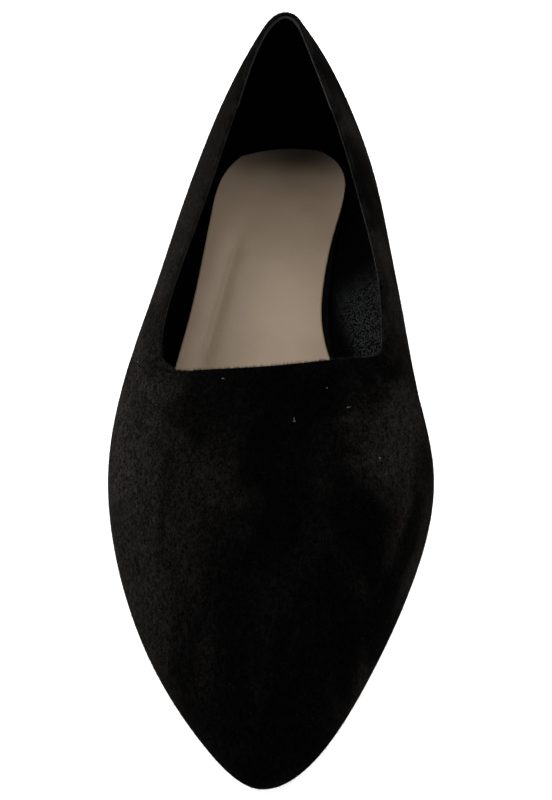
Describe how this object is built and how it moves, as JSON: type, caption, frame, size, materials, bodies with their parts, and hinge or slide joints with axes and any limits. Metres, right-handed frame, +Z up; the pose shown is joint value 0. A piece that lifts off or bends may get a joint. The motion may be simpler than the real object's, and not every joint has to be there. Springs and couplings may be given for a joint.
{
  "type": "ballet flat",
  "caption": "Pointed ballet flat for the right foot, black suede upper over a thin sole with a low heel, and a beige sock lining inside",
  "frame": {"origin": "bounding box bottom centre, on the floor under the middle of the shoe's length", "axes": "+X to the inner side of the foot, +Y from toe to heel, +Z up"},
  "size_m": [0.0812, 0.258, 0.0672],
  "materials": {
    "suede": "short brushed nap, fully matt, with a soft sheen at grazing angles",
    "sole_rubber": "moulded rubber, satin, lightly grained underneath",
    "heel_rubber": "moulded rubber, satin",
    "board": "pressed fibre board, matt",
    "sock_leather": "smooth lining leather, satin with a fine grain"
  },
  "bodies": {
    "root": {"upper": "suede", "outsole": "sole_rubber", "heel": "heel_rubber", "insole": "board", "sock": "sock_leather"}
  },
  "joints": []
}
